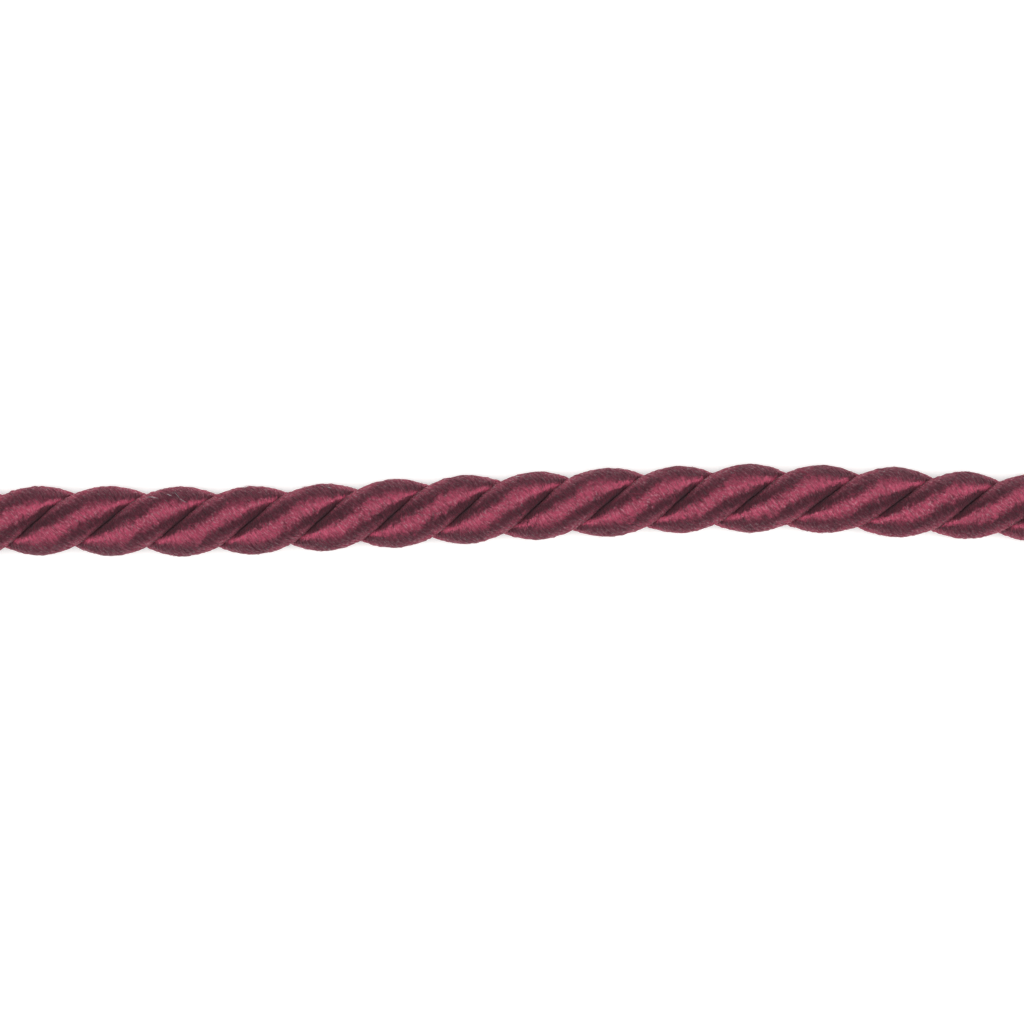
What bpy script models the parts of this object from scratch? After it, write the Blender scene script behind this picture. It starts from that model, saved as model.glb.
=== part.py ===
"""Twisted cord trim: a cut length of two-ply furnishing cord, lying in a slight bend on a flat surface.

Each ply is one fat strand of satin yarn. The two plies wind round each other, and each is pressed
flat against the other along the cord's axis and a little flat where it rests. Made in metres, +Z up,
with the cord along X and the origin below its middle, on the surface that it lies on.
"""

import math
from collections import namedtuple

import bpy
import bmesh

MM = 0.001

# Driving dimensions
CORD_LENGTH = 150.0 * MM        # cut end to cut end, measured along X
LAY_LENGTH = 16.65 * MM         # length of cord in which a ply goes once round
PLY_OFFSET = 2.02 * MM          # cord's axis to the middle of a ply
PLY_HALF_DEPTH = 1.99 * MM      # half of a ply's size on the line through the cord's axis
PLY_HALF_WIDTH = 2.61 * MM      # half of a ply's size across that line
PLY_SQUARENESS = 1.80           # 2 is an ellipse, and less draws its sides in towards a lens
PLY_GAP = 0.30 * MM             # left between the two plies where they press together
FLOOR_PRESS = 0.27 * MM         # depth of the flat that each low crest has on the surface
START_TWIST = math.radians(26.4)  # how far the first ply has turned from facing up, at X = 0

# Fineness of the mesh
STEPS_PER_TURN = 18
SIDES = 16

PLY_TURNS = {"ply_a": 0.0, "ply_b": math.pi}

# The cord's route, seen from above: hand-set points on one smooth curve
Stop = namedtuple("Stop", "x y")
ROUTE = [
    Stop(-75.0 * MM, -1.55 * MM),
    Stop(-65.0 * MM, -1.45 * MM),
    Stop(-55.0 * MM, -1.10 * MM),
    Stop(-45.0 * MM, -1.14 * MM),
    Stop(-35.0 * MM, -1.17 * MM),
    Stop(-25.0 * MM, -0.85 * MM),
    Stop(-15.0 * MM, -0.32 * MM),
    Stop(-5.0 * MM, 0.24 * MM),
    Stop(5.0 * MM, 0.76 * MM),
    Stop(15.0 * MM, 1.21 * MM),
    Stop(25.0 * MM, 1.51 * MM),
    Stop(35.0 * MM, 1.48 * MM),
    Stop(45.0 * MM, 1.07 * MM),
    Stop(55.0 * MM, 0.64 * MM),
    Stop(65.0 * MM, 0.32 * MM),
    Stop(75.0 * MM, 0.20 * MM),
]

# How full the twist is along the cord, as a share of the usual size
Swell = namedtuple("Swell", "x fullness")
SWELLS = [
    Swell(-75.0 * MM, 1.000),
    Swell(-55.0 * MM, 1.008),
    Swell(-46.0 * MM, 1.022),
    Swell(-38.0 * MM, 1.015),
    Swell(-30.0 * MM, 1.000),
    Swell(-21.0 * MM, 0.983),
    Swell(-14.0 * MM, 1.003),
    Swell(-5.0 * MM, 1.006),
    Swell(3.0 * MM, 0.996),
    Swell(12.0 * MM, 1.006),
    Swell(19.0 * MM, 0.983),
    Swell(29.0 * MM, 1.000),
    Swell(36.0 * MM, 0.990),
    Swell(45.0 * MM, 1.022),
    Swell(53.0 * MM, 0.982),
    Swell(75.0 * MM, 1.000),
]

# How far the twist is carried along the cord by uneven tension
Slip = namedtuple("Slip", "x shift")
SLIPS = [
    Slip(-75.0 * MM, 0.00 * MM),
    Slip(-34.0 * MM, 0.02 * MM),
    Slip(-26.0 * MM, 0.10 * MM),
    Slip(-18.0 * MM, -0.03 * MM),
    Slip(-1.0 * MM, 0.02 * MM),
    Slip(7.0 * MM, -0.22 * MM),
    Slip(16.0 * MM, 0.10 * MM),
    Slip(24.0 * MM, -0.16 * MM),
    Slip(32.0 * MM, -0.07 * MM),
    Slip(41.0 * MM, 0.14 * MM),
    Slip(49.0 * MM, 0.32 * MM),
    Slip(57.0 * MM, -0.14 * MM),
    Slip(75.0 * MM, 0.00 * MM),
]

TWIST_RATE = 2.0 * math.pi / LAY_LENGTH
LEAN = math.atan(TWIST_RATE * PLY_OFFSET)       # angle between a ply and the cord
CORD_HEIGHT = PLY_OFFSET + PLY_HALF_DEPTH - FLOOR_PRESS


def eased(rows, x):
    """A table's second column at x, going softly from row to row."""
    for before, after in zip(rows, rows[1:]):
        if x <= after.x:
            break
    share = min(max((x - before.x) / (after.x - before.x), 0.0), 1.0)
    share = share * share * (3.0 - 2.0 * share)
    return before[1] + (after[1] - before[1]) * share


def route_slope(index):
    """The route's direction at one of its points; both cut ends lie straight along X."""
    if index in (0, len(ROUTE) - 1):
        return 0.0
    before, after = ROUTE[index - 1], ROUTE[index + 1]
    return (after.y - before.y) / (after.x - before.x)


def route_at(x):
    """The route's sideways place and its slope at x, on a smooth curve through the points."""
    index = 0
    while index < len(ROUTE) - 2 and x > ROUTE[index + 1].x:
        index += 1
    before, after = ROUTE[index], ROUTE[index + 1]
    span = after.x - before.x
    t = (x - before.x) / span
    rise = after.y - before.y
    start, end = route_slope(index) * span, route_slope(index + 1) * span
    bend, twist = 3.0 * rise - 2.0 * start - end, start + end - 2.0 * rise
    place = before.y + t * (start + t * (bend + t * twist))
    slope = (start + t * (2.0 * bend + 3.0 * t * twist)) / span
    return place, slope


def rounded(value):
    """Bends a sine or cosine towards the lens shape of a pressed ply."""
    return math.copysign(abs(value) ** (2.0 / PLY_SQUARENESS), value)


def ring_stations():
    """Places along the cord for the rings: two straddle each low crest, and one is at each cut end."""
    step = 2.0 * math.pi / STEPS_PER_TURN
    half = CORD_LENGTH / 2.0
    first = math.ceil((START_TWIST - TWIST_RATE * half) / step)
    last = math.floor((START_TWIST + TWIST_RATE * half) / step)
    inner = [((index + 0.5) * step - START_TWIST) / TWIST_RATE for index in range(first, last)]
    clear = 0.3 * LAY_LENGTH / STEPS_PER_TURN
    return [-half] + [place for place in inner if abs(place) < half - clear] + [half]


def ply_ring(place, turn):
    """One ring of a ply's outline, square to the cord."""
    x = place + eased(SLIPS, place)
    side, slope = route_at(x)
    scale = eased(SWELLS, x)
    twist = START_TWIST + TWIST_RATE * place + turn
    stretch = math.hypot(1.0, slope)
    ring = []
    for number in range(SIDES):
        angle = 2.0 * math.pi * number / SIDES
        outward = scale * (PLY_OFFSET + PLY_HALF_DEPTH * rounded(math.cos(angle)))
        sideways = scale * PLY_HALF_WIDTH * rounded(math.sin(angle))
        ahead = sideways * math.sin(LEAN) * TWIST_RATE
        sideways *= math.cos(LEAN)
        radial = outward * math.cos(ahead) - sideways * math.sin(ahead)
        across = outward * math.sin(ahead) + sideways * math.cos(ahead)
        radial = max(radial, PLY_GAP / 2.0)
        level = radial * math.sin(twist) + across * math.cos(twist)
        height = CORD_HEIGHT + radial * math.cos(twist) - across * math.sin(twist)
        ring.append((x - level * slope / stretch, side + level / stretch, max(height, 0.0)))
    return ring


def yarn_material(name):
    """Crimson satin yarn."""
    material = bpy.data.materials.new(name)
    material.use_nodes = True
    shader = material.node_tree.nodes["Principled BSDF"]
    shader.inputs["Base Color"].default_value = (0.262, 0.031, 0.063, 1.0)
    shader.inputs["Roughness"].default_value = 0.45
    shader.inputs["Metallic"].default_value = 0.0
    shader.inputs["Sheen Weight"].default_value = 0.3
    return material


def make_ply(name, turn):
    """One ply of the cord, a closed strand from cut end to cut end."""
    shape = bmesh.new()
    rings = [[shape.verts.new(point) for point in ply_ring(place, turn)] for place in ring_stations()]
    for ring, following in zip(rings, rings[1:]):
        for number in range(SIDES):
            beside = (number + 1) % SIDES
            shape.faces.new((ring[number], ring[beside], following[beside], following[number]))
    shape.faces.new(reversed(rings[0]))
    shape.faces.new(rings[-1])
    bmesh.ops.recalc_face_normals(shape, faces=shape.faces[:])
    bmesh.ops.triangulate(shape, faces=[face for face in shape.faces if len(face.verts) == 4])
    mesh = bpy.data.meshes.new(name)
    shape.to_mesh(mesh)
    shape.free()
    mesh.shade_smooth()
    mesh.set_sharp_from_angle(angle=math.radians(50.0))
    ply = bpy.data.objects.new(name, mesh)
    mesh.materials.append(yarn_material(name + "_satin_yarn"))
    bpy.context.scene.collection.objects.link(ply)
    return ply


def main():
    """Clears the scene and makes both plies."""
    for old in list(bpy.data.objects):
        bpy.data.objects.remove(old, do_unlink=True)
    for name, turn in PLY_TURNS.items():
        make_ply(name, turn)


main()
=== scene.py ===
"""Twisted cord trim: the looks of a cut length of two-ply satin furnishing cord.

Each ply is a fat strand with satin yarns wound round it side by side, and the two plies lie round
each other. The script is laid out as a Blender add-on and is run as a script.
"""

import math
from collections import namedtuple

import bmesh
import bpy
import numpy as np
from bpy.props import (
    FloatProperty,
    FloatVectorProperty,
    IntProperty,
    PointerProperty,
)
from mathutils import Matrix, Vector, noise


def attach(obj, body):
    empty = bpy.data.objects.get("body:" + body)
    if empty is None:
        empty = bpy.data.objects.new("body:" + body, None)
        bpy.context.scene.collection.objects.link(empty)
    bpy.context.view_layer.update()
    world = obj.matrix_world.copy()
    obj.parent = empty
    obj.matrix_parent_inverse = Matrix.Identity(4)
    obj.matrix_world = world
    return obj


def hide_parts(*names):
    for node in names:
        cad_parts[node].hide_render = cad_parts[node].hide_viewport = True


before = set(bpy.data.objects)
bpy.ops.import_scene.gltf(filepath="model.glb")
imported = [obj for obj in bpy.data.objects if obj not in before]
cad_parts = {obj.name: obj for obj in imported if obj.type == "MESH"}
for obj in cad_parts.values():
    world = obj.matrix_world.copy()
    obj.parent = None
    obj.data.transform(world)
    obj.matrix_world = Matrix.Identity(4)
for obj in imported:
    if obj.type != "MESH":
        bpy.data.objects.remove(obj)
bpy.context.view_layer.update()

bl_info = {
    "name": "Twisted cord trim",
    "version": (1, 0, 0),
    "blender": (4, 5, 0),
    "location": "3D View > Sidebar > Cord",
    "description": "Winds a two-ply satin cord and sets it on a pale floor",
    "category": "Object",
}

MM = 0.001

# The cord's route, seen from above: the same points as in the part
Stop = namedtuple("Stop", "x y")
ROUTE = [
    Stop(-75.0 * MM, -1.55 * MM),
    Stop(-65.0 * MM, -1.45 * MM),
    Stop(-55.0 * MM, -1.10 * MM),
    Stop(-45.0 * MM, -1.14 * MM),
    Stop(-35.0 * MM, -1.17 * MM),
    Stop(-25.0 * MM, -0.85 * MM),
    Stop(-15.0 * MM, -0.32 * MM),
    Stop(-5.0 * MM, 0.24 * MM),
    Stop(5.0 * MM, 0.76 * MM),
    Stop(15.0 * MM, 1.21 * MM),
    Stop(25.0 * MM, 1.51 * MM),
    Stop(35.0 * MM, 1.48 * MM),
    Stop(45.0 * MM, 1.07 * MM),
    Stop(55.0 * MM, 0.64 * MM),
    Stop(65.0 * MM, 0.32 * MM),
    Stop(75.0 * MM, 0.20 * MM),
]

# How full the twist is along the cord, as a share of the usual size
Swell = namedtuple("Swell", "x fullness")
SWELLS = [
    Swell(-75.0 * MM, 1.000),
    Swell(-55.0 * MM, 1.008),
    Swell(-46.0 * MM, 1.022),
    Swell(-38.0 * MM, 1.015),
    Swell(-30.0 * MM, 1.000),
    Swell(-21.0 * MM, 0.983),
    Swell(-14.0 * MM, 1.003),
    Swell(-5.0 * MM, 1.006),
    Swell(3.0 * MM, 0.996),
    Swell(12.0 * MM, 1.006),
    Swell(19.0 * MM, 0.983),
    Swell(29.0 * MM, 1.000),
    Swell(36.0 * MM, 0.990),
    Swell(45.0 * MM, 1.022),
    Swell(53.0 * MM, 0.982),
    Swell(75.0 * MM, 1.000),
]

# How far the twist is carried along the cord by uneven tension
Slip = namedtuple("Slip", "x shift")
SLIPS = [
    Slip(-75.0 * MM, 0.00 * MM),
    Slip(-34.0 * MM, 0.02 * MM),
    Slip(-26.0 * MM, 0.10 * MM),
    Slip(-18.0 * MM, -0.03 * MM),
    Slip(-1.0 * MM, 0.02 * MM),
    Slip(7.0 * MM, -0.22 * MM),
    Slip(16.0 * MM, 0.10 * MM),
    Slip(24.0 * MM, -0.16 * MM),
    Slip(32.0 * MM, -0.07 * MM),
    Slip(41.0 * MM, 0.14 * MM),
    Slip(49.0 * MM, 0.32 * MM),
    Slip(57.0 * MM, -0.14 * MM),
    Slip(75.0 * MM, 0.00 * MM),
]

# The cord's sizes, as in the part
CORD_LENGTH = 150.0 * MM
LAY_LENGTH = 16.65 * MM
PLY_OFFSET = 2.02 * MM
PLY_HALF_DEPTH = 1.99 * MM
PLY_HALF_WIDTH = 2.61 * MM
PLY_SQUARENESS = 1.80
FLOOR_PRESS = 0.27 * MM
START_TWIST = math.radians(26.4)

TWIST_RATE = 2.0 * math.pi / LAY_LENGTH
LEAN = math.atan(TWIST_RATE * PLY_OFFSET)
CORD_HEIGHT = PLY_OFFSET + PLY_HALF_DEPTH - FLOOR_PRESS
PLY_GIRTH = 14.5 * MM           # once round a ply, over its winding
PLY_TURNS = {"ply_a": 0.0, "ply_b": math.pi}

# How the wound plies meet each other and the floor
CONTACT = 0.008 * MM            # half of the gap between the plies
PRESS = 0.12 * MM               # how far the plies press into each other at their middle
INTERLOCK = 0.05 * MM           # how far the pressed faces wave, so that no light passes between them
INTERLOCK_LENGTH = 0.9 * MM
OPENING = 0.3 * MM              # gap between the plies from which the yarn stands in full relief
FLOOR_GAP = 0.02 * MM

# The cut ends
WOUND_PAST_END = 5.0 * MM       # winding made past each end before it is cut square
CUT_CROWN = 0.25 * MM           # how far a cut end swells at its middle
CUT_UNEVENNESS = 0.06 * MM
CUT_CLUMP = 0.45 * MM           # width of the clumps that stand out or lie back at a cut
CUT_RINGS = (0.93, 0.80, 0.62, 0.42, 0.22)

# Loose filaments and lint
FUZZ_RADIUS = 2.3 * MM          # usual bend of a ply's surface under a loose filament
FUZZ_ROOT = 0.02 * MM           # how deep a loose filament starts in the yarn
LINT_LIFT = 0.03 * MM
TUBE_SIDES = 4

# The studio
FLOOR_REACH = 3.0
SOFTBOX_EDGE = 0.15             # where the softbox's light on the floor starts to fall off
SOFTBOX_END = 0.9


def linear(code):
    """An sRGB hex colour as the linear red, green and blue that the shaders take."""
    shares = [int(code[place:place + 2], 16) / 255.0 for place in (0, 2, 4)]
    return [share / 12.92 if share <= 0.04045 else ((share + 0.055) / 1.055) ** 2.4 for share in shares]


class CordWinding(bpy.types.PropertyGroup):
    """Sizes of the yarn wound round each ply."""

    yarn_pitch: FloatProperty(
        name="Yarn pitch", description="Distance from one yarn to the next along a ply",
        default=0.45 * MM, min=0.2 * MM, max=1.0 * MM, unit="LENGTH", precision=5)
    ends: IntProperty(
        name="Ends", description="Yarns wound round a ply side by side", default=4, min=1, max=12)
    yarn_relief: FloatProperty(
        name="Yarn relief", description="How far a yarn stands above the groove beside it",
        default=0.06 * MM, min=0.0, max=0.3 * MM, unit="LENGTH", precision=5)
    unevenness: FloatProperty(
        name="Unevenness", description="How far the yarn rises and sinks along its run",
        default=0.03 * MM, min=0.0, max=0.2 * MM, unit="LENGTH", precision=5)
    wander: FloatProperty(
        name="Wander", description="How far a yarn strays sideways, as a share of the pitch",
        default=0.30, min=0.0, max=0.45)
    columns: IntProperty(
        name="Columns", description="Faces once round a ply", default=54, min=16, max=96)
    rows_per_yarn: IntProperty(
        name="Rows", description="Faces across one yarn", default=4, min=3, max=8)
    fuzz_count: IntProperty(
        name="Fuzz", description="Loose filaments that stand off the plies", default=520, min=0, max=4000)
    filament_size: FloatProperty(
        name="Filament size", description="Thickness of a loose filament, several times the real one",
        default=0.045 * MM, min=0.01 * MM, max=0.2 * MM, unit="LENGTH", precision=5)


class CordColours(bpy.types.PropertyGroup):
    """Colours of the yarn and the floor."""

    yarn: FloatVectorProperty(
        name="Yarn", description="Dyed rayon, as seen straight on", subtype="COLOR",
        default=linear("8B374C"), min=0.0, max=1.0)
    gleam: FloatVectorProperty(
        name="Gleam", description="Tint of the light that the filaments send back", subtype="COLOR",
        default=linear("FF8CA8"), min=0.0, max=1.0)
    lint: FloatVectorProperty(
        name="Lint", description="Undyed cotton lint", subtype="COLOR",
        default=linear("BDAFB3"), min=0.0, max=1.0)
    floor: FloatVectorProperty(
        name="Floor", description="White acrylic sheet", subtype="COLOR",
        default=linear("F6F6F4"), min=0.0, max=1.0)


class CordStudio(bpy.types.PropertyGroup):
    """Sizes of the studio round the cord."""

    view_width: FloatProperty(
        name="View width", description="Length of cord across the picture",
        default=119.8 * MM, min=20.0 * MM, max=300.0 * MM, unit="LENGTH")
    view_centre: FloatProperty(
        name="View centre", description="Where the picture's middle lies across the cord",
        default=-0.08 * MM, min=-20.0 * MM, max=20.0 * MM, unit="LENGTH", precision=5)
    view_lean: FloatProperty(
        name="View lean", description="How far the camera leans from straight above", subtype="ANGLE",
        default=math.radians(-1.0), min=math.radians(-60.0), max=math.radians(60.0))
    lens: FloatProperty(
        name="Lens", description="The camera's focal length", default=100.0, min=35.0, max=200.0,
        subtype="DISTANCE_CAMERA")
    softbox_power: FloatProperty(
        name="Softbox power", description="Light of the overhead softbox", default=4.5, min=0.0, max=500.0,
        unit="POWER")
    softbox_width: FloatProperty(
        name="Softbox width", description="Width of the overhead softbox", default=0.75, min=0.05, max=6.0,
        unit="LENGTH")
    softbox_depth: FloatProperty(
        name="Softbox depth", description="Depth of the overhead softbox", default=0.34, min=0.05, max=3.0,
        unit="LENGTH")
    softbox_height: FloatProperty(
        name="Softbox height", description="Height of the softbox above the floor", default=0.50, min=0.2,
        max=3.0, unit="LENGTH")
    # The floor's glow near the cord is painted light that the floor gives off itself
    floor_glow: FloatProperty(
        name="Floor glow", description="Light that the acrylic floor passes up from below", default=0.22,
        min=0.0, max=5.0)


def slopes_of(stops):
    """The route's direction at each of its points; both cut ends lie straight along X."""
    slopes = [0.0]
    for before, after in zip(stops, stops[2:]):
        slopes.append((after.y - before.y) / (after.x - before.x))
    return np.array(slopes + [0.0])


ROUTE_X = np.array([stop.x for stop in ROUTE])
ROUTE_Y = np.array([stop.y for stop in ROUTE])
ROUTE_SLOPES = slopes_of(ROUTE)


def route_at(x):
    """The route's sideways place and its slope at x, on a smooth curve through the points."""
    index = np.clip(np.searchsorted(ROUTE_X, x, side="right") - 1, 0, len(ROUTE) - 2)
    span = ROUTE_X[index + 1] - ROUTE_X[index]
    t = (np.clip(x, ROUTE_X[0], ROUTE_X[-1]) - ROUTE_X[index]) / span
    rise = ROUTE_Y[index + 1] - ROUTE_Y[index]
    start, end = ROUTE_SLOPES[index] * span, ROUTE_SLOPES[index + 1] * span
    bend, twist = 3.0 * rise - 2.0 * start - end, start + end - 2.0 * rise
    place = ROUTE_Y[index] + t * (start + t * (bend + t * twist))
    slope = (start + t * (2.0 * bend + 3.0 * t * twist)) / span
    return place, slope


def eased(rows, x):
    """A table's second column at x, going softly from row to row."""
    stations = np.array([row[0] for row in rows])
    values = np.array([row[1] for row in rows])
    index = np.clip(np.searchsorted(stations, x, side="right") - 1, 0, len(rows) - 2)
    share = np.clip((x - stations[index]) / (stations[index + 1] - stations[index]), 0.0, 1.0)
    share = share * share * (3.0 - 2.0 * share)
    return values[index] + (values[index + 1] - values[index]) * share


def rounded(value):
    """Bends a sine or cosine towards the lens shape of a pressed ply."""
    return np.sign(value) * np.abs(value) ** (2.0 / PLY_SQUARENESS)


def section(place, angle, raised):
    """A point of a ply's section, as its place along the cord, its distance from the plane between the
    plies, its place across the cord and how far it would stand clear of the other ply unpressed."""
    scale = eased(SWELLS, place)
    out_x, out_y = np.cos(angle) / PLY_HALF_DEPTH, np.sin(angle) / PLY_HALF_WIDTH
    steep = np.hypot(out_x, out_y)
    depth = PLY_HALF_DEPTH + np.where(np.cos(angle) < 0.0, PRESS, 0.0)
    outward = scale * (PLY_OFFSET + depth * rounded(np.cos(angle))) + raised * out_x / steep
    sideways = scale * PLY_HALF_WIDTH * rounded(np.sin(angle)) + raised * out_y / steep
    ahead = sideways * math.sin(LEAN) * TWIST_RATE
    place = place - sideways * math.sin(LEAN)
    sideways = sideways * math.cos(LEAN)
    radial = outward * np.cos(ahead) - sideways * np.sin(ahead)
    across = outward * np.sin(ahead) + sideways * np.cos(ahead)
    clear = radial - CONTACT - INTERLOCK * np.sin(2.0 * math.pi * across / INTERLOCK_LENGTH)
    return place, radial - np.minimum(clear, 0.0), across, clear


def on_ply(place, angle, raised, turn):
    """Points on a ply: place is where the section's middle is along the cord, angle is measured round
    the section from its outer side, and raised is how far the point stands off the ply's own form."""
    place, radial, across, _ = section(place, angle, raised)
    twist = START_TWIST + TWIST_RATE * place + turn
    level = radial * np.sin(twist) + across * np.cos(twist)
    height = CORD_HEIGHT + radial * np.cos(twist) - across * np.sin(twist)
    x = place + eased(SLIPS, place)
    side, slope = route_at(x)
    stretch = np.hypot(1.0, slope)
    return np.stack(
        [x - level * slope / stretch, side + level / stretch, np.maximum(height, FLOOR_GAP)], -1)


def yarn_direction(place, angle, advance, turn):
    """The way that the wound yarn runs over a ply, as a vector of no set length."""
    step = 0.01
    ahead = advance * step / (2.0 * math.pi)
    onward = on_ply(place + ahead, angle + step, 0.0, turn)
    return (onward - on_ply(place - ahead, angle - step, 0.0, turn)) / (step * MM)


def along_yarn(seed, knots_per_turn, end, laps, lap):
    """Smooth uneven values along the wound yarns: end is the yarn's number, lap its place in turns."""
    width = int(laps * knots_per_turn) + 4
    knots = np.random.default_rng(seed).standard_normal(width * (int(end.max()) + 1))
    at = end * width + np.clip(lap * knots_per_turn, 0.0, width - 2.0)
    index = np.floor(at).astype(int)
    share = at - index
    share = share * share * (3.0 - 2.0 * share)
    return knots[index] + (knots[index + 1] - knots[index]) * share


def wound_grid(sizes, turn, seed):
    """The points of a ply's winding, as rows along the ply and columns round it. The rows follow the
    yarns, so a row's end meets the start of the row that is as many yarns back as are wound together."""
    pitch_on_cord = sizes.yarn_pitch * math.cos(LEAN)
    yarns = math.ceil((CORD_LENGTH + 2.0 * WOUND_PAST_END) / pitch_on_cord)
    row = np.arange(yarns * sizes.rows_per_yarn + 1)[:, None]
    column = np.arange(sizes.columns)[None, :]
    share_round = column / sizes.columns
    # The seam of the winding lies at the pressed side, where the plies hide it
    angle = math.pi + 2.0 * math.pi * share_round
    wrap = row // sizes.rows_per_yarn
    within = (row % sizes.rows_per_yarn) / sizes.rows_per_yarn
    laps = yarns / sizes.ends + 3.0

    def uneven(stream, knots_per_turn, number):
        lap = share_round + laps - 2.0 - number // sizes.ends
        return along_yarn(seed * 10 + stream, knots_per_turn, number % sizes.ends, laps, lap)

    low, high = uneven(0, 7.0, wrap), uneven(0, 7.0, wrap + 1)
    drift = sizes.wander * (low * (1.0 - within) + high * within) * 0.5
    profile = np.sqrt(np.sin(math.pi * within))
    rise = uneven(1, 27.0, wrap) * profile + 0.5 * (
        uneven(2, 11.0, wrap) * (1.0 - within) + uneven(2, 11.0, wrap + 1) * within)
    relief = sizes.yarn_relief * (profile - 0.7) + sizes.unevenness * rise
    place = -CORD_LENGTH / 2.0 - WOUND_PAST_END + pitch_on_cord * (
        row / sizes.rows_per_yarn + sizes.ends * (0.5 - share_round) + drift)
    *_, clear = section(place, angle, 0.0)
    free = np.clip(clear / OPENING, 0.0, 1.0)
    points = on_ply(place, angle, relief * free, turn)
    yarn = yarn_direction(place, angle, -pitch_on_cord * sizes.ends, turn)
    wind = np.stack(np.broadcast_arrays(
        share_round * PLY_GIRTH / MM, row / sizes.rows_per_yarn, free), -1)
    return points, {"wind": wind, "yarn": yarn}


def grid_faces(rows, columns, shift):
    """Faces of the wound grid; the last column joins the first one, shifted by the yarns of one turn."""
    row = np.arange(rows - 1)[:, None]
    column = np.arange(columns - 1)[None, :]
    corner = row * columns + column
    body = np.stack([corner, corner + 1, corner + columns + 1, corner + columns], -1).reshape(-1, 4)
    first = np.arange(rows - 1 - shift) * columns
    last = first + shift * columns + columns - 1
    seam = np.stack([last, first, first + columns, last + columns], -1)
    return np.concatenate([body, seam])


def loops_of(edges):
    """The points of each closed loop of edges, in order."""
    left = set(edges)
    loops = []
    while left:
        edge = min(left, key=lambda item: item.index)
        left.discard(edge)
        loop = [edge.verts[0], edge.verts[1]]
        while True:
            onward = [item for item in loop[-1].link_edges if item in left]
            if not onward:
                break
            left.discard(onward[0])
            loop.append(onward[0].other_vert(loop[-1]))
        loops.append(loop[:-1])
    return loops


def close_end(shape, loop, outward):
    """Closes a cut end with rings of faces, crowned and a little uneven, as cut filaments stand."""
    middle = sum((vert.co for vert in loop), Vector()) / len(loop)
    ring = loop
    for share in CUT_RINGS:
        inner = []
        for vert in loop:
            place = middle.lerp(vert.co, share)
            out = (1.0 - share) * CUT_CROWN + CUT_UNEVENNESS * noise.noise(place / CUT_CLUMP)
            inner.append(shape.verts.new((vert.co.x + outward * out, place.y, place.z)))
        for here, beside, inside, inside_beside in zip(
                ring, ring[1:] + ring[:1], inner, inner[1:] + inner[:1]):
            shape.faces.new((here, beside, inside_beside, inside)).material_index = 1
        ring = inner
    tip = shape.verts.new((middle.x + outward * 0.8 * CUT_CROWN, middle.y, middle.z))
    for here, beside in zip(ring, ring[1:] + ring[:1]):
        shape.faces.new((here, beside, tip)).material_index = 1


def cut_square(mesh):
    """Cuts the winding square to the cord at both ends and closes the cuts."""
    shape = bmesh.new()
    shape.from_mesh(mesh)
    for outward in (-1.0, 1.0):
        everything = shape.verts[:] + shape.edges[:] + shape.faces[:]
        plane = Vector((outward * CORD_LENGTH / 2.0, 0.0, 0.0))
        cut = bmesh.ops.bisect_plane(
            shape, geom=everything, dist=1e-7, plane_co=plane, plane_no=(outward, 0.0, 0.0),
            clear_outer=True)
        edges = [item for item in cut["geom_cut"] if isinstance(item, bmesh.types.BMEdge)]
        shape.edges.index_update()
        for loop in loops_of(edges):
            close_end(shape, loop, outward)
    bmesh.ops.recalc_face_normals(shape, faces=shape.faces[:])
    shape.to_mesh(mesh)
    shape.free()


def new_material(name):
    """A node material with no nodes yet."""
    material = bpy.data.materials.new(name)
    material.use_nodes = True
    material.node_tree.nodes.clear()
    return material


def add_node(owner, kind, settings=(), links=()):
    """Adds a node to a material or world, with its settings and links. A setting is a socket's name or
    number, or an attribute, with its value; a link is a socket's name or number with the output that
    feeds it."""
    node = owner.node_tree.nodes.new(kind)
    for name, value in settings:
        if isinstance(name, str) and hasattr(node, name):
            setattr(node, name, value)
        else:
            node.inputs[name].default_value = value
    for name, source in links:
        owner.node_tree.links.new(source, node.inputs[name])
    return node


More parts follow.
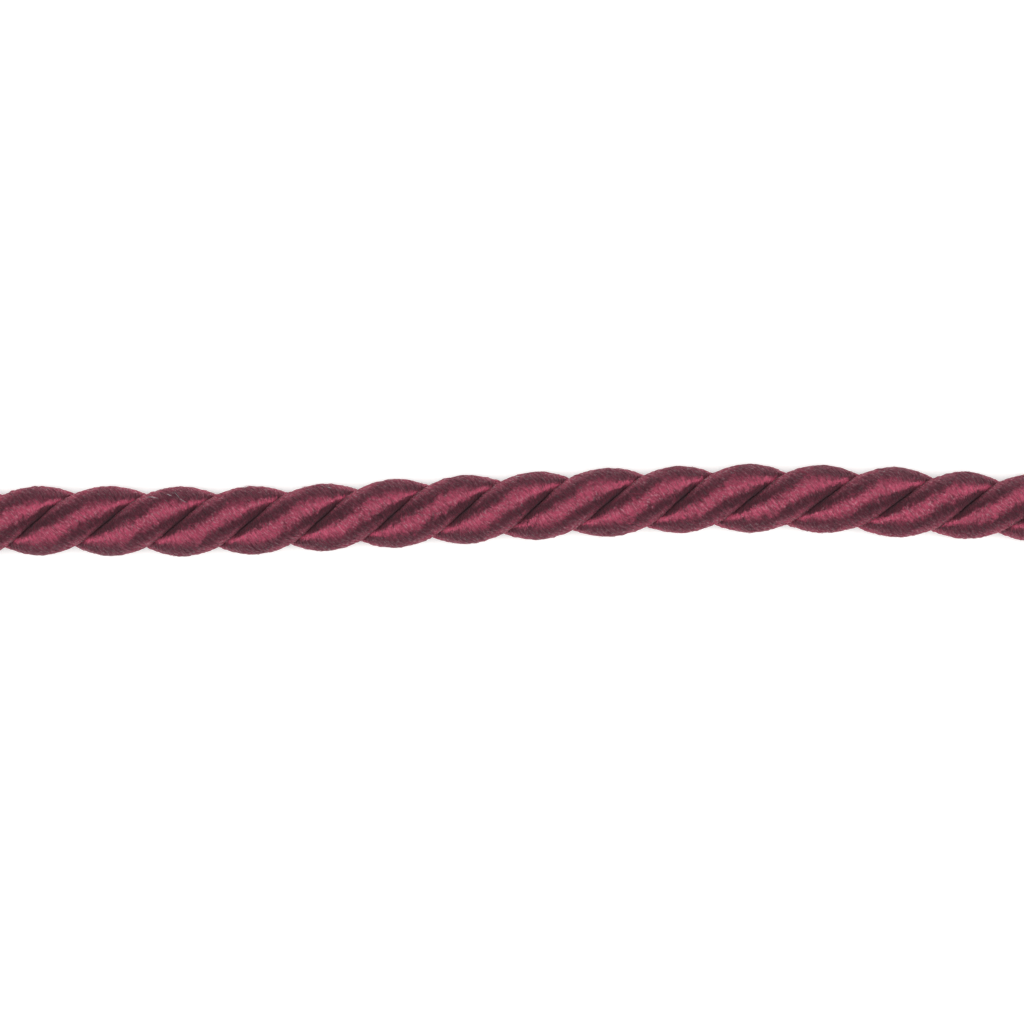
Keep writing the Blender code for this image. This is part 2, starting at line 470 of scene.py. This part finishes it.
def wound_rayon(colours):
    """Dyed viscose rayon yarn, spun bright and wound round a strand: the filaments lie side by side
    across the ply, so it gleams in one band where they face the light and is dark beside it."""
    material = new_material("wound_bright_rayon")
    wind = add_node(material, "ShaderNodeAttribute", [("attribute_name", "wind")])
    parts = add_node(material, "ShaderNodeSeparateXYZ", links=[("Vector", wind.outputs["Vector"])])
    # Filaments are 0.02 mm thick. They are drawn as bundles of 0.2 mm, half of a yarn, to show
    across = add_node(material, "ShaderNodeMath", [("operation", "MULTIPLY"), (1, 2.4)],
                      [(0, parts.outputs["Y"])])
    run = add_node(material, "ShaderNodeMath", [("operation", "MULTIPLY"), (1, 0.9)],
                   [(0, parts.outputs["X"])])
    place = add_node(material, "ShaderNodeCombineXYZ",
                     links=[("X", run.outputs[0]), ("Y", across.outputs[0])])
    bundles = add_node(material, "ShaderNodeTexNoise",
                       [("Scale", 1.0), ("Detail", 3.0), ("Roughness", 0.65)],
                       [("Vector", place.outputs["Vector"])])
    # Filaments rise and dive within 0.5 mm of their run, which breaks up the gleam's borders
    dives = add_node(material, "ShaderNodeTexNoise",
                     [("Scale", 2.3), ("Detail", 1.0), ("Roughness", 0.5)],
                     [("Vector", place.outputs["Vector"])])
    number = add_node(material, "ShaderNodeMath", [("operation", "FLOOR")], [(0, parts.outputs["Y"])])
    turn_run = add_node(material, "ShaderNodeMath", [("operation", "MULTIPLY"), (1, 0.30)],
                        [(0, parts.outputs["X"])])
    turn_place = add_node(material, "ShaderNodeCombineXYZ",
                          links=[("X", turn_run.outputs[0]), ("Y", number.outputs[0])])
    turns = add_node(material, "ShaderNodeTexNoise",
                     [("Scale", 1.0), ("Detail", 1.0), ("Roughness", 0.5)],
                     [("Vector", turn_place.outputs["Vector"])])
    mixed = add_node(material, "ShaderNodeMath", [("operation", "MULTIPLY_ADD"), (1, 3.0)],
                     [(0, bundles.outputs["Fac"]), (2, turns.outputs["Fac"])])
    shade = add_node(material, "ShaderNodeMapRange",
                     [("From Min", 1.4), ("From Max", 2.6), ("To Min", 0.58), ("To Max", 1.42)],
                     [("Value", mixed.outputs[0])])
    colour = add_node(material, "ShaderNodeVectorMath",
                      [("operation", "SCALE"), (0, tuple(colours.yarn))],
                      [("Scale", shade.outputs["Result"])])
    bump = add_node(material, "ShaderNodeBump", [("Strength", 1.0), ("Distance", 0.09 * MM)],
                    [("Height", dives.outputs["Fac"])])
    yarn = add_node(material, "ShaderNodeAttribute", [("attribute_name", "yarn")])
    run_way = add_node(material, "ShaderNodeVectorTransform",
                       [("vector_type", "VECTOR"), ("convert_from", "OBJECT"), ("convert_to", "WORLD")],
                       [("Vector", yarn.outputs["Vector"])])
    # The filaments are smooth along their run and round across it, so the gleam spreads across the run
    spread = add_node(material, "ShaderNodeVectorMath", [("operation", "CROSS_PRODUCT")],
                      [(0, run_way.outputs["Vector"]), (1, bump.outputs["Normal"])])
    # Single filaments lie higher or lower: their own surface sends back white light, unlike the dye.
    # They are drawn 0.4 mm long and 0.1 mm wide, several times as wide as the real ones, to show
    finer = add_node(material, "ShaderNodeVectorMath", [("operation", "MULTIPLY"), (1, (2.6, 1.7, 1.0))],
                     [(0, place.outputs["Vector"])])
    glints = add_node(material, "ShaderNodeTexNoise", [("Scale", 1.0), ("Detail", 1.0), ("Roughness", 0.7)],
                      [("Vector", finer.outputs["Vector"])])

    film = add_node(material, "ShaderNodeMapRange",
                    [("From Min", 0.51), ("From Max", 0.64), ("To Min", 0.0), ("To Max", 1.0)],
                    [("Value", glints.outputs["Fac"])])
    # Where the plies press on each other the filaments lie flat and send back no white light
    open_film = add_node(material, "ShaderNodeMath", [("operation", "MULTIPLY")],
                         [(0, film.outputs["Result"]), (1, parts.outputs["Z"])])
    # Dyed bright filaments tint the light that they send back, as a metal does, so metallic is high
    shader = add_node(material, "ShaderNodeBsdfPrincipled", [
        ("Roughness", 0.55), ("IOR", 1.53), ("Metallic", 0.85), ("Specular IOR Level", 0.5),
        ("Anisotropic", 1.0),
        ("Specular Tint", (*colours.gleam, 1.0)), ("Sheen Roughness", 0.8), ("Sheen Weight", 0.072),
        ("Sheen Tint", (0.88, 0.85, 0.95, 1.0)), ("Coat Roughness", 0.42), ("Coat IOR", 1.53),
    ], [("Base Color", colour.outputs["Vector"]), ("Normal", bump.outputs["Normal"]),
        ("Tangent", spread.outputs["Vector"]),
        ("Coat Weight", open_film.outputs[0]), ("Coat Normal", bump.outputs["Normal"])])
    add_node(material, "ShaderNodeOutputMaterial", links=[("Surface", shader.outputs["BSDF"])])
    return material


def cut_filaments(colours):
    """Viscose rayon cut square: thousands of dull filament ends, with painted shade between their bundles
    that makes the cut darker than the yarn's side.
    """
    material = new_material("cut_rayon_filament_ends")
    place = add_node(material, "ShaderNodeTexCoord")
    # Ends of filament bundles, drawn 0.25 mm apart where the filaments are 0.02 mm, to show. Each bundle
    # end is painted lighter at its middle and darker towards its edge: painted shade in the gaps between
    # the bundles
    dots = add_node(material, "ShaderNodeTexVoronoi", [("Scale", 1.0 / (0.25 * MM))],
                    [("Vector", place.outputs["Object"])])
    shade = add_node(material, "ShaderNodeMapRange",
                     [("From Min", 0.1), ("From Max", 0.7), ("To Min", 1.25), ("To Max", 0.25)],
                     [("Value", dots.outputs["Distance"])])
    colour = add_node(material, "ShaderNodeVectorMath", [("operation", "SCALE"), (0, tuple(colours.yarn))],
                      [("Scale", shade.outputs["Result"])])
    bump = add_node(material, "ShaderNodeBump", [("Strength", 0.8), ("Distance", 0.06 * MM)],
                    [("Height", shade.outputs["Result"])])
    shader = add_node(material, "ShaderNodeBsdfPrincipled",
                      [("Roughness", 0.75), ("IOR", 1.53), ("Sheen Weight", 0.1)],
                      [("Base Color", colour.outputs["Vector"]), ("Normal", bump.outputs["Normal"])])
    add_node(material, "ShaderNodeOutputMaterial", links=[("Surface", shader.outputs["BSDF"])])
    return material


def loose_filament(colours):
    """Single viscose rayon filaments standing off the yarn: too thin to gleam, so they look pale."""
    material = new_material("loose_rayon_filament")
    place = add_node(material, "ShaderNodeTexCoord")
    tone = add_node(material, "ShaderNodeTexNoise", [("Scale", 300.0)],
                    [("Vector", place.outputs["Object"])])
    shade = add_node(material, "ShaderNodeMapRange",
                     [("From Min", 0.3), ("From Max", 0.7), ("To Min", 0.9), ("To Max", 1.7)],
                     [("Value", tone.outputs["Fac"])])
    colour = add_node(material, "ShaderNodeVectorMath", [("operation", "SCALE"), (0, tuple(colours.yarn))],
                      [("Scale", shade.outputs["Result"])])
    shader = add_node(material, "ShaderNodeBsdfPrincipled",
                      [("Roughness", 0.5), ("IOR", 1.53), ("Alpha", 0.6)],
                      [("Base Color", colour.outputs["Vector"])])
    add_node(material, "ShaderNodeOutputMaterial", links=[("Surface", shader.outputs["BSDF"])])
    return material


def undyed_lint(colours):
    """Undyed cotton lint caught on the cord: short matt whitish fibres."""
    material = new_material("undyed_cotton_lint")
    place = add_node(material, "ShaderNodeTexCoord")
    tone = add_node(material, "ShaderNodeTexNoise", [("Scale", 900.0)],
                    [("Vector", place.outputs["Object"])])
    shade = add_node(material, "ShaderNodeMapRange",
                     [("From Min", 0.3), ("From Max", 0.7), ("To Min", 0.55), ("To Max", 1.0)],
                     [("Value", tone.outputs["Fac"])])
    colour = add_node(material, "ShaderNodeVectorMath", [("operation", "SCALE"), (0, tuple(colours.lint))],
                      [("Scale", shade.outputs["Result"])])
    shader = add_node(material, "ShaderNodeBsdfPrincipled",
                      [("Roughness", 0.8), ("IOR", 1.55), ("Sheen Weight", 0.3)],
                      [("Base Color", colour.outputs["Vector"])])
    add_node(material, "ShaderNodeOutputMaterial", links=[("Surface", shader.outputs["BSDF"])])
    return material


def thin_tube(shape, path, size, material_index):
    """Adds a closed tube along a path, thinner towards both of its ends."""
    rings = []
    for number, place in enumerate(path):
        before, after = path[max(number - 1, 0)], path[min(number + 1, len(path) - 1)]
        way = (after - before).normalized()
        aside = way.orthogonal().normalized()
        above = way.cross(aside)
        along = number / (len(path) - 1)
        reach = 0.5 * size * (0.45 + 0.55 * math.sin(math.pi * along))
        rings.append([shape.verts.new(place + reach * (math.cos(turn) * aside + math.sin(turn) * above))
                      for turn in np.linspace(0.0, 2.0 * math.pi, TUBE_SIDES, endpoint=False)])
    for here, onward in zip(rings, rings[1:]):
        for side in range(TUBE_SIDES):
            beside = (side + 1) % TUBE_SIDES
            shape.faces.new((here[side], here[beside], onward[beside], onward[side]))
    shape.faces.new(rings[0][::-1])
    shape.faces.new(rings[-1])
    shape.faces.ensure_lookup_table()
    for face in shape.faces[-(len(rings) - 1) * TUBE_SIDES - 2:]:
        face.material_index = material_index


def fuzz_path(rng, turn):
    """A filament that leaves its yarn, arches over the ply and comes back to it, or ends in the air."""
    place = rng.uniform(-0.5, 0.5) * (CORD_LENGTH - 4.0 * MM)
    angle = rng.normal(0.0, 0.75)
    length = rng.uniform(0.5, 1.7) * MM
    height = rng.uniform(0.03, 0.13) * MM
    slew = rng.normal(0.0, 0.35)
    free_end = rng.random() < 0.35
    path = []
    for share in np.linspace(0.0, 1.0, 6):
        lift = height * (1.6 * share ** 1.5 if free_end else math.sin(math.pi * share)) - FUZZ_ROOT
        run = (share - 0.5) * length
        spot = on_ply(np.array(place + run * math.sin(slew)),
                      np.array(angle + run * math.cos(slew) / FUZZ_RADIUS), np.array(lift), turn)
        path.append(Vector(spot.tolist()))
    return path


# Lint seen on the cord: both of its ends, and how far it bows
Lint = namedtuple("Lint", "x y end_x end_y bow")
LINT = [
    Lint(-42.5 * MM, 1.66 * MM, -41.2 * MM, 1.58 * MM, 0.10 * MM),
    Lint(-40.1 * MM, 2.05 * MM, -39.5 * MM, 1.80 * MM, 0.03 * MM),
    Lint(-39.2 * MM, 2.30 * MM, -37.8 * MM, 1.10 * MM, -0.20 * MM),
    Lint(-21.5 * MM, 2.85 * MM, -21.1 * MM, 2.70 * MM, 0.02 * MM),
    Lint(0.3 * MM, 3.95 * MM, 0.9 * MM, 4.10 * MM, 0.06 * MM),
]


def lint_path(context, lint):
    """A fibre that lies on the plies' tops from end to end."""
    depsgraph = context.evaluated_depsgraph_get()
    path = []
    for share in np.linspace(0.0, 1.0, 7):
        bow = lint.bow * math.sin(math.pi * share)
        x = lint.x + (lint.end_x - lint.x) * share
        y = lint.y + (lint.end_y - lint.y) * share + bow
        hit, place, *_ = context.scene.ray_cast(depsgraph, Vector((x, y, 0.05)), Vector((0.0, 0.0, -1.0)))
        path.append(place + Vector((0.0, 0.0, LINT_LIFT)))
    return path


def link(thing):
    """Puts a new object in the scene."""
    bpy.context.scene.collection.objects.link(thing)
    return thing


class CORD_OT_wind_plies(bpy.types.Operator):
    """Winds the yarn round both plies and lays them round each other"""

    bl_idname = "cord.wind_plies"
    bl_label = "Wind the plies"

    def execute(self, context):
        sizes, colours = context.scene.cord_winding, context.scene.cord_colours
        materials = [wound_rayon(colours), cut_filaments(colours)]
        for seed, (node, turn) in enumerate(PLY_TURNS.items(), start=7):
            points, fields = wound_grid(sizes, turn, seed)
            rows, columns = points.shape[:2]
            faces = grid_faces(rows, columns, sizes.ends * sizes.rows_per_yarn)
            mesh = bpy.data.meshes.new("wound_" + node)
            mesh.from_pydata(points.reshape(-1, 3), [], faces)
            for name, values in fields.items():
                attribute = mesh.attributes.new(name, "FLOAT_VECTOR", "POINT")
                attribute.data.foreach_set("vector", values.ravel())
            cut_square(mesh)
            for material in materials:
                mesh.materials.append(material)
            mesh.shade_smooth()
            ply = link(bpy.data.objects.new("wound_" + node, mesh))
            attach(ply, "root")
            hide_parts(node)
        return {"FINISHED"}


class CORD_OT_raise_fuzz(bpy.types.Operator):
    """Raises loose filaments and lint on the plies"""

    bl_idname = "cord.raise_fuzz"
    bl_label = "Raise the fuzz"

    def execute(self, context):
        sizes, colours = context.scene.cord_winding, context.scene.cord_colours
        rng = np.random.default_rng(31)
        shape = bmesh.new()
        for number in range(sizes.fuzz_count):
            thin_tube(shape, fuzz_path(rng, math.pi * (number % 2)), sizes.filament_size, 0)
        for lint in LINT:
            thin_tube(shape, lint_path(context, lint), 1.7 * sizes.filament_size, 1)
        mesh = bpy.data.meshes.new("loose_filaments")
        shape.to_mesh(mesh)
        shape.free()
        mesh.materials.append(loose_filament(colours))
        mesh.materials.append(undyed_lint(colours))
        mesh.shade_smooth()
        fuzz = link(bpy.data.objects.new("loose_filaments", mesh))
        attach(fuzz, "root")
        return {"FINISHED"}


def white_acrylic(colour, glow):
    """White acrylic sheet: dull, with painted light: it glows faintly near the cord and more where the
    softbox doesn't reach, so that it stays white.
    """
    material = new_material("white_acrylic_sheet")
    place = add_node(material, "ShaderNodeTexCoord")
    distance = add_node(material, "ShaderNodeVectorMath", [("operation", "LENGTH")],
                        [(0, place.outputs["Object"])])
    # Painted light: the floor's own glow, low near the cord and full where the softbox's light falls off
    strength = add_node(material, "ShaderNodeMapRange",
                        [("interpolation_type", "SMOOTHSTEP"), ("From Min", SOFTBOX_EDGE),
                         ("From Max", SOFTBOX_END), ("To Min", glow), ("To Max", 1.0)],
                        [("Value", distance.outputs["Value"])])
    shader = add_node(material, "ShaderNodeBsdfPrincipled",
                      [("Base Color", (*colour, 1.0)), ("Roughness", 0.6), ("IOR", 1.49),
                       ("Emission Color", (1.0, 1.0, 1.0, 1.0))],
                      [("Emission Strength", strength.outputs["Result"])])
    add_node(material, "ShaderNodeOutputMaterial", links=[("Surface", shader.outputs["BSDF"])])
    return material


def studio_walls():
    """A world that looks pale behind the cord and sheds next to no light on it."""
    world = bpy.data.worlds.new("studio_walls")
    world.use_nodes = True
    world.node_tree.nodes.clear()
    rays = add_node(world, "ShaderNodeLightPath")
    shade = add_node(world, "ShaderNodeMapRange", [("To Min", 0.02), ("To Max", 0.95)],
                     [("Value", rays.outputs["Is Camera Ray"])])
    walls = add_node(world, "ShaderNodeBackground", links=[("Color", shade.outputs["Result"])])
    add_node(world, "ShaderNodeOutputWorld", links=[("Surface", walls.outputs["Background"])])
    return world


class CORD_OT_set_stage(bpy.types.Operator):
    """Sets up the floor, the lights and the camera"""

    bl_idname = "cord.set_stage"
    bl_label = "Set the stage"

    def execute(self, context):
        studio, colours = context.scene.cord_studio, context.scene.cord_colours
        floor_mesh = bpy.data.meshes.new("floor")
        corners = [(-FLOOR_REACH, -FLOOR_REACH, 0), (FLOOR_REACH, -FLOOR_REACH, 0),
                   (FLOOR_REACH, FLOOR_REACH, 0), (-FLOOR_REACH, FLOOR_REACH, 0)]
        floor_mesh.from_pydata(corners, [], [(0, 1, 2, 3)])
        floor_mesh.materials.append(white_acrylic(colours.floor, studio.floor_glow))
        floor = link(bpy.data.objects.new("floor", floor_mesh))

        lamp = bpy.data.lights.new("softbox", "AREA")
        lamp.shape = "RECTANGLE"
        lamp.size, lamp.size_y = studio.softbox_width, studio.softbox_depth
        lamp.energy = studio.softbox_power
        softbox = link(bpy.data.objects.new("softbox", lamp))
        softbox.location = (0.0, 0.0, studio.softbox_height)

        context.scene.world = studio_walls()

        eye = bpy.data.cameras.new("camera")
        eye.lens = studio.lens
        camera = link(bpy.data.objects.new("camera", eye))
        distance = studio.view_width * eye.lens / eye.sensor_width
        lean = studio.view_lean
        camera.location = (0.0, studio.view_centre - distance * math.sin(lean),
                           CORD_HEIGHT + distance * math.cos(lean))
        camera.rotation_euler = (lean, 0.0, 0.0)
        context.scene.camera = camera
        context.scene.view_settings.view_transform = "Standard"
        return {"FINISHED"}


class CORD_PT_sidebar(bpy.types.Panel):
    """Lists the cord's sizes, colours and steps"""

    bl_label = "Twisted cord trim"
    bl_idname = "CORD_PT_sidebar"
    bl_space_type = "VIEW_3D"
    bl_region_type = "UI"
    bl_category = "Cord"

    def draw(self, context):
        for group in (context.scene.cord_winding, context.scene.cord_colours, context.scene.cord_studio):
            box = self.layout.box()
            for name in group.__annotations__:
                box.prop(group, name)
        for step in STEPS:
            self.layout.operator(step.bl_idname)


STEPS = (CORD_OT_set_stage, CORD_OT_wind_plies, CORD_OT_raise_fuzz)
CLASSES = (CordWinding, CordColours, CordStudio) + STEPS + (CORD_PT_sidebar,)


def register():
    """Adds the classes and their settings to Blender."""
    for item in CLASSES:
        bpy.utils.register_class(item)
    bpy.types.Scene.cord_winding = PointerProperty(type=CordWinding)
    bpy.types.Scene.cord_colours = PointerProperty(type=CordColours)
    bpy.types.Scene.cord_studio = PointerProperty(type=CordStudio)


def unregister():
    """Takes the classes and their settings out of Blender."""
    del bpy.types.Scene.cord_studio
    del bpy.types.Scene.cord_colours
    del bpy.types.Scene.cord_winding
    for item in reversed(CLASSES):
        bpy.utils.unregister_class(item)


def main():
    """Makes the stage and the cord."""
    register()
    bpy.ops.cord.set_stage()
    bpy.ops.cord.wind_plies()
    bpy.ops.cord.raise_fuzz()


if __name__ == "__main__":
    main()
